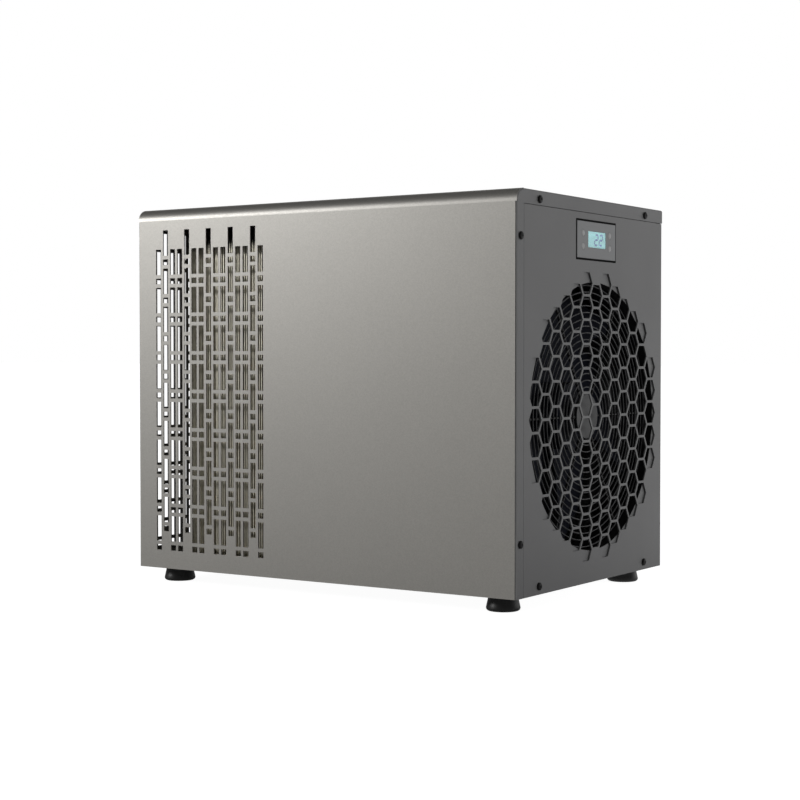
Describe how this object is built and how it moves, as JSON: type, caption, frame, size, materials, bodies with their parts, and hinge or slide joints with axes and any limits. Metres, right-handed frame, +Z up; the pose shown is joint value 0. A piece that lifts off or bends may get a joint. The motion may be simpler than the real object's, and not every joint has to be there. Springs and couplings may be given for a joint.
{
  "type": "pool heat pump unit",
  "caption": "Small air-source pool heat pump: silver front with slotted vents, dark grey cabinet on rubber feet, honeycomb fan grille and small display panel on one end, hose ports at the rear.",
  "frame": {"origin": "middle of the bounding box in X and Y, at floor level under the feet", "axes": "+X along the long side towards the fan end, -Y out of the silver front, +Z up"},
  "size_m": [0.4386, 0.3348, 0.371],
  "materials": {
    "grey_paint": "fine-textured powder coat",
    "silver_paint": "metallic silver paint with a fine grain",
    "galvanised_steel": "zinc plated",
    "guard_wire": "grey coated wire",
    "motor_casing": "satin",
    "black_rubber": "matt",
    "black_screw": "black oxide",
    "rotor_plastic": "moulded",
    "fin_aluminium": "coated fin stock",
    "copper": "drawn copper tube",
    "black_enamel": "gloss enamel",
    "black_plastic": "moulded",
    "vessel_plastic": "moulded",
    "capacitor_can": "drawn can",
    "controller_plastic": "printed film",
    "window_glass": "clear",
    "display_film": "backlit"
  },
  "bodies": {
    "cabinet": {"hood": "grey_paint", "front_fascia": "silver_paint", "fan_panel": "grey_paint", "intake_panel": "grey_paint", "rear_panel": "grey_paint", "base_tray": "galvanised_steel", "foot_front_left": "black_rubber", "foot_front_right": "black_rubber", "foot_rear_left": "black_rubber", "foot_rear_right": "black_rubber", "foot_bolts": "galvanised_steel", "foot_nuts": "galvanised_steel", "fan_end_screws": "black_screw", "intake_end_screws": "black_screw", "rear_screws": "black_screw", "fan_shroud": "grey_paint", "guard_rings": "guard_wire", "guard_spider": "guard_wire", "motor_bracket": "galvanised_steel", "fan_motor": "motor_casing", "evaporator_fins": "fin_aluminium", "evaporator_tubes": "copper", "return_bends": "copper", "coil_front_plate": "galvanised_steel", "coil_rear_plate": "galvanised_steel", "compressor": "black_enamel", "compressor_cover": "black_plastic", "compressor_grommets": "black_rubber", "compressor_nuts": "galvanised_steel", "accumulator": "black_enamel", "accumulator_elbow": "copper", "exchanger": "vessel_plastic", "discharge_pipe": "copper", "suction_pipe": "copper", "liquid_pipe": "copper", "filter_drier": "copper", "feed_pipe": "copper", "water_inlet": "black_plastic", "water_outlet": "black_plastic", "port_seals": "black_rubber", "bulkhead_nuts": "black_plastic", "gland_body": "black_plastic", "gland_nut": "black_plastic", "condensate_nipple": "black_plastic", "control_box": "galvanised_steel", "control_box_lid": "galvanised_steel", "run_capacitor": "capacitor_can", "terminal_block": "black_plastic", "controller_gasket": "black_rubber", "controller_housing": "controller_plastic", "display_window": "window_glass", "display": "display_film"},
    "fan": {"fan_rotor": "rotor_plastic", "motor_shaft": "galvanised_steel", "fan_nut": "galvanised_steel"},
    "power_key": {"key_power": "controller_plastic"},
    "mode_key": {"key_mode": "controller_plastic"},
    "up_key": {"key_up": "controller_plastic"},
    "down_key": {"key_down": "controller_plastic"}
  },
  "joints": [
    {"name": "fan_spin", "type": "hinge", "parent": "cabinet", "child": "fan", "pos_m": [0.175, -0.01715, 0.169], "axis": [1, 0, 0], "continuous": true},
    {"name": "power_press", "type": "slide", "parent": "cabinet", "child": "power_key", "axis": [-1, 0, 0], "range_m": [0, 0.0008], "stiffness_N_per_m": 400},
    {"name": "mode_press", "type": "slide", "parent": "cabinet", "child": "mode_key", "axis": [-1, 0, 0], "range_m": [0, 0.0008], "stiffness_N_per_m": 400},
    {"name": "up_press", "type": "slide", "parent": "cabinet", "child": "up_key", "axis": [-1, 0, 0], "range_m": [0, 0.0008], "stiffness_N_per_m": 400},
    {"name": "down_press", "type": "slide", "parent": "cabinet", "child": "down_key", "axis": [-1, 0, 0], "range_m": [0, 0.0008], "stiffness_N_per_m": 400}
  ]
}
